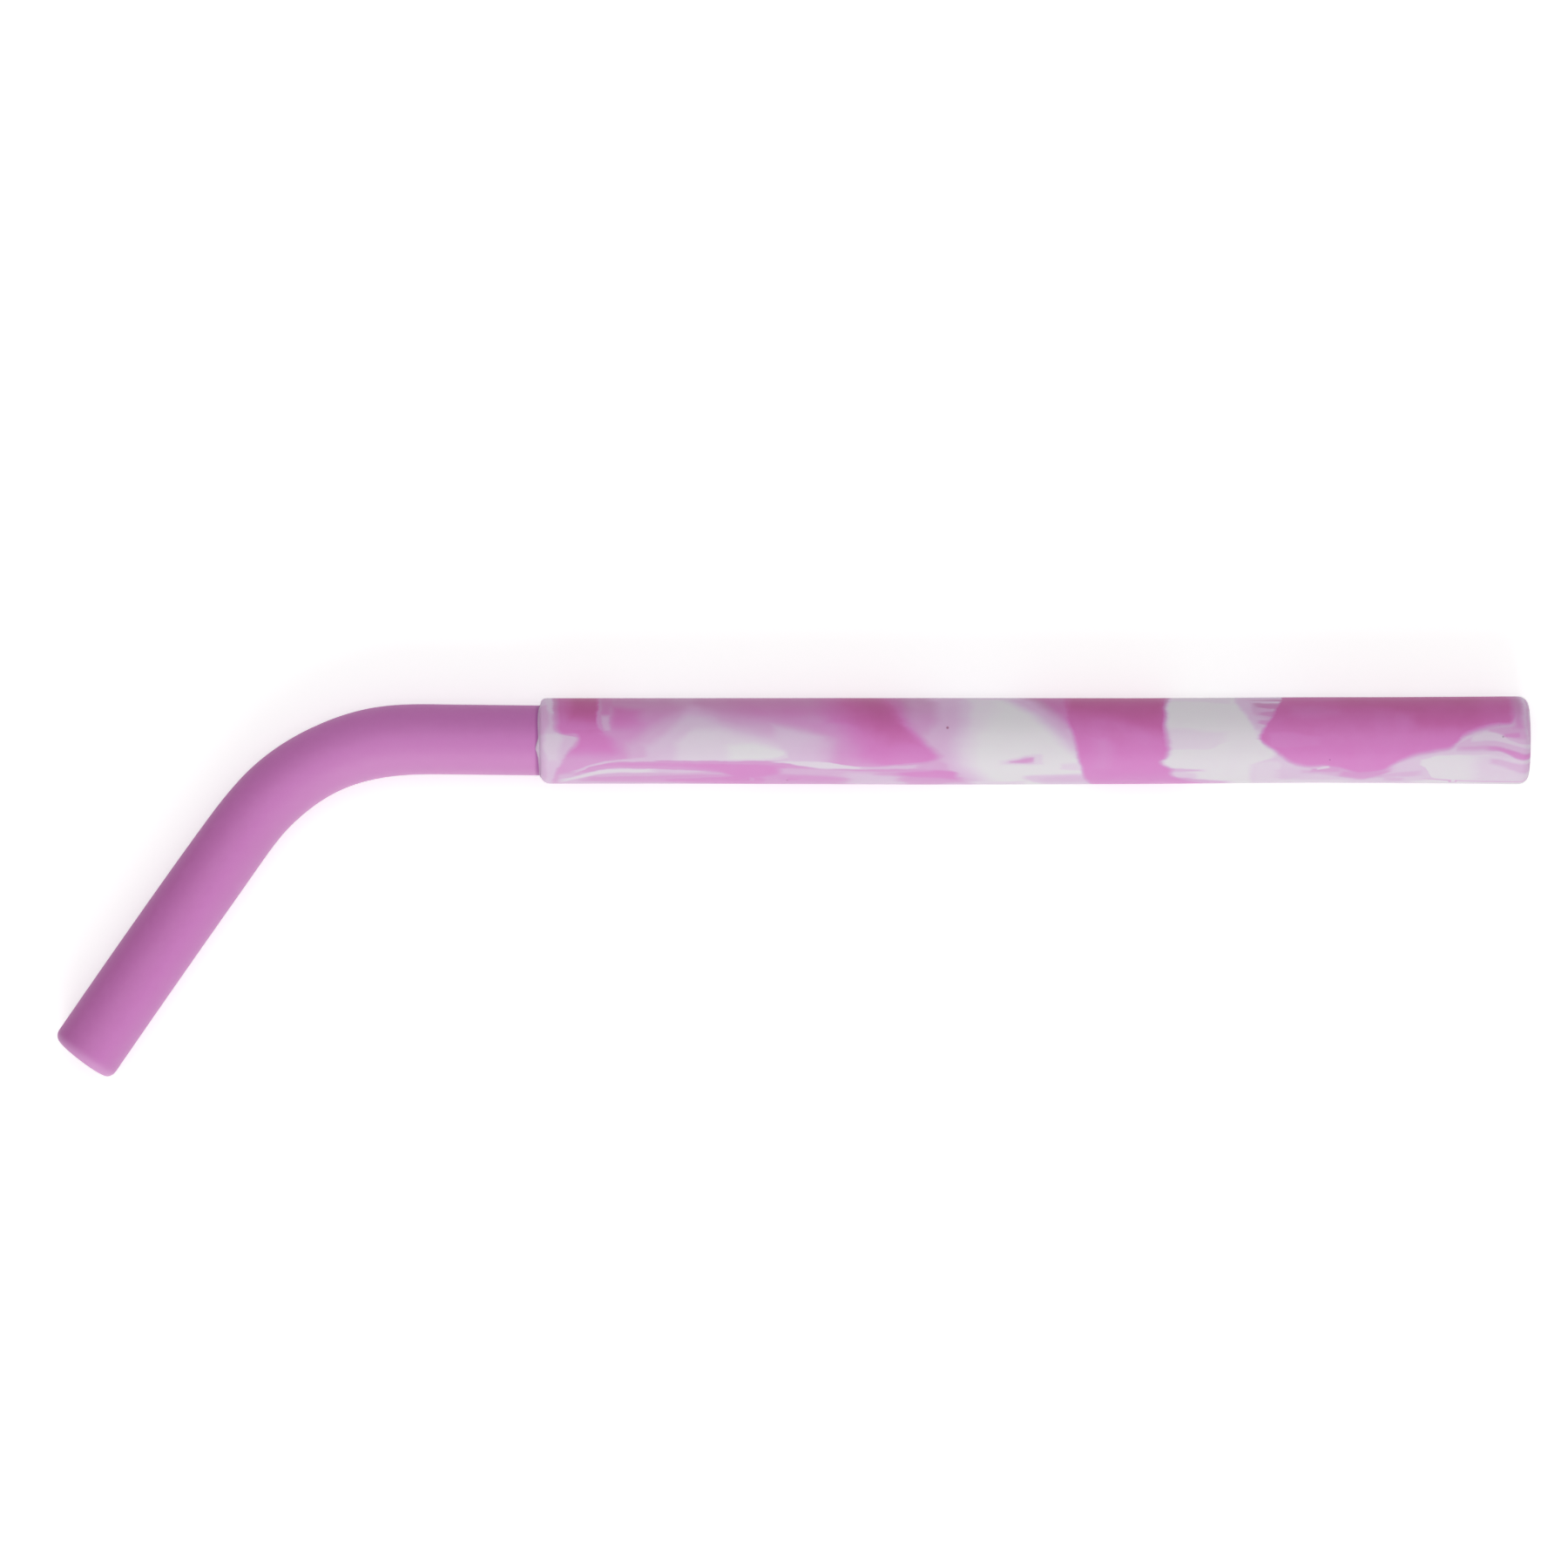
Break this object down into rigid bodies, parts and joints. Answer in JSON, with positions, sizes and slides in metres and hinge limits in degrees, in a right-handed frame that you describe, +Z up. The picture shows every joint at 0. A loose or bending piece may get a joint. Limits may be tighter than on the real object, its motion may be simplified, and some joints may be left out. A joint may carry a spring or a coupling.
{
  "type": "silicone drinking straw",
  "caption": "Reusable drinking straw of soft silicone: a plain tube with one bend and a rounded mouth, and a thicker marbled sleeve moulded over its straight end.",
  "frame": {"origin": "middle of the straw's box at the surface it lies on", "axes": "+X along the sleeve towards its open lower end, +Y away from the side that the bend turns to, +Z up from the surface; the straw lies on its side on the sleeve and the mouth"},
  "size_m": [0.2112, 0.0544, 0.0123],
  "materials": {
    "orchid_silicone": "matte, lightly grained silicone, one orchid colour throughout",
    "marbled_silicone": "matte silicone marbled in orchid pink, lilac and white"
  },
  "bodies": {
    "root": {"bent_tube": "orchid_silicone", "marbled_sleeve": "marbled_silicone"}
  },
  "joints": []
}
